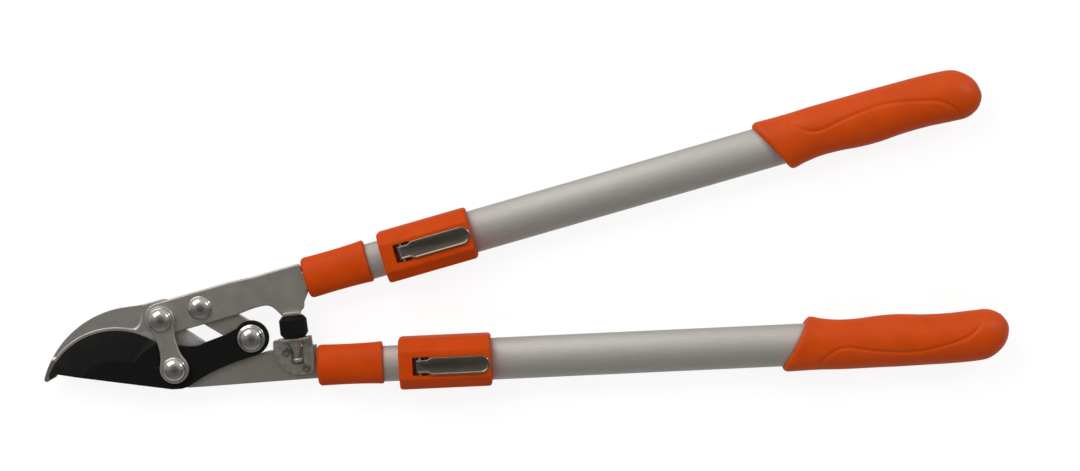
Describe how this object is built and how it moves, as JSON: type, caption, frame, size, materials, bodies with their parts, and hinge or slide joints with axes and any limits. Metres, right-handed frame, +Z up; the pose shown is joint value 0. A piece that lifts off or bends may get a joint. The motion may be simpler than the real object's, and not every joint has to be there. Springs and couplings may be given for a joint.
{
  "type": "telescopic bypass loppers",
  "caption": "Bypass loppers with a curved hook and coated blade, a compound lever head, and telescopic handles with flip locks and shaped grips.",
  "frame": {"origin": "bottom centre of the bounding box of the closed, retracted tool lying flat", "axes": "+X along the lower handle from jaw to grips, +Y across the tool from the lower handle to the upper one, +Z up through the stack of plates, away from the surface the tool lies on"},
  "size_m": [0.6858, 0.2086, 0.0331],
  "materials": {
    "hook_steel": "ground and brushed forged steel, satin",
    "plate_steel": "tumbled satin nickel-plated steel plate",
    "coated_steel": "black non-stick coating, satin",
    "chrome": "polished bright plated",
    "zinc_steel": "zinc plated, slightly dull",
    "nickel_steel": "polished nickel plated stamping",
    "tube_aluminium": "fine matt anodised drawn tube",
    "orange_plastic": "moulded nylon, fine satin",
    "orange_grip": "moulded soft-touch elastomer, satin",
    "black_rubber": "moulded rubber, matt",
    "white_nylon": "natural nylon"
  },
  "bodies": {
    "hook_side": {"hook_plate": "hook_steel", "tie_plate": "plate_steel", "main_pivot_bolt": "chrome", "main_pivot_washer": "zinc_steel", "main_pivot_nut": "zinc_steel", "lever_pivot_bolt": "chrome", "lever_pivot_washer": "zinc_steel", "lever_pivot_nut": "zinc_steel", "bumper_bracket": "zinc_steel", "bracket_rivet_1": "zinc_steel", "bracket_rivet_2": "zinc_steel", "bumper": "black_rubber", "bumper_stud": "zinc_steel", "lower_collar": "orange_plastic", "lower_inner_tube": "tube_aluminium", "lower_tang_rivet": "zinc_steel", "lower_glide_plug": "white_nylon"},
    "blade_arm": {"blade": "coated_steel", "blade_link_bolt": "chrome", "blade_link_cover": "chrome", "blade_link_washer": "zinc_steel", "blade_link_nut": "zinc_steel"},
    "upper_lever": {"upper_lever_plate": "plate_steel", "lever_link_bolt": "chrome", "lever_link_washer": "zinc_steel", "lever_link_nut": "zinc_steel", "upper_collar": "orange_plastic", "upper_inner_tube": "tube_aluminium", "upper_tang_rivet": "zinc_steel", "upper_glide_plug": "white_nylon"},
    "link": {"link_bar": "plate_steel"},
    "lower_handle": {"lower_outer_tube": "tube_aluminium", "lower_lock_sleeve": "orange_plastic", "lower_lock_pin": "nickel_steel", "lower_grip": "orange_grip"},
    "lower_lock": {"lower_lock_lever": "nickel_steel"},
    "lower_pad": {"lower_brake_pad": "white_nylon"},
    "upper_handle": {"upper_outer_tube": "tube_aluminium", "upper_lock_sleeve": "orange_plastic", "upper_lock_pin": "nickel_steel", "upper_grip": "orange_grip"},
    "upper_lock": {"upper_lock_lever": "nickel_steel"},
    "upper_pad": {"upper_brake_pad": "white_nylon"}
  },
  "joints": [
    {"name": "handle_open", "type": "hinge", "parent": "hook_side", "child": "upper_lever", "pos_m": [-0.25763, -0.04566, 0.01785], "axis": [0, 0, 1], "range_deg": [0, 70]},
    {"name": "blade_open", "type": "hinge", "parent": "hook_side", "child": "blade_arm", "pos_m": [-0.24973, -0.08129, 0.01785], "axis": [0, 0, 1], "range_deg": [0, 35.5]},
    {"name": "link_swing", "type": "hinge", "parent": "upper_lever", "child": "link", "pos_m": [-0.22962, -0.03893, 0.01305], "axis": [0, 0, 1], "range_deg": [-62.8, 0]},
    {"name": "lower_telescope", "type": "slide", "parent": "hook_side", "child": "lower_handle", "axis": [1, 0, 0], "range_m": [0, 0.3]},
    {"name": "upper_telescope", "type": "slide", "parent": "upper_lever", "child": "upper_handle", "axis": [0.9724, 0.2334, 0], "range_m": [0, 0.3]},
    {"name": "lower_lock_flip", "type": "hinge", "parent": "lower_handle", "child": "lower_lock", "pos_m": [-0.07553, -0.08629, 0.029], "axis": [0, -1, 0], "range_deg": [0, 95]},
    {"name": "upper_lock_flip", "type": "hinge", "parent": "upper_handle", "child": "upper_lock", "pos_m": [-0.08392, -0.00498, 0.029], "axis": [0.2334, -0.9724, 0], "range_deg": [0, 95]},
    {"name": "lower_pad_lift", "type": "slide", "parent": "lower_handle", "child": "lower_pad", "axis": [0, 0, 1], "range_m": [0, 0.00041]},
    {"name": "upper_pad_lift", "type": "slide", "parent": "upper_handle", "child": "upper_pad", "axis": [0, 0, 1], "range_m": [0, 0.00041]}
  ],
  "couplings": [
    {"joint": "blade_open", "follows": "handle_open", "ratio": 0.5055},
    {"joint": "link_swing", "follows": "handle_open", "ratio": -0.8949},
    {"joint": "lower_pad_lift", "follows": "lower_lock_flip", "m_per_rad": 0.0002412},
    {"joint": "upper_pad_lift", "follows": "upper_lock_flip", "m_per_rad": 0.0002412}
  ]
}
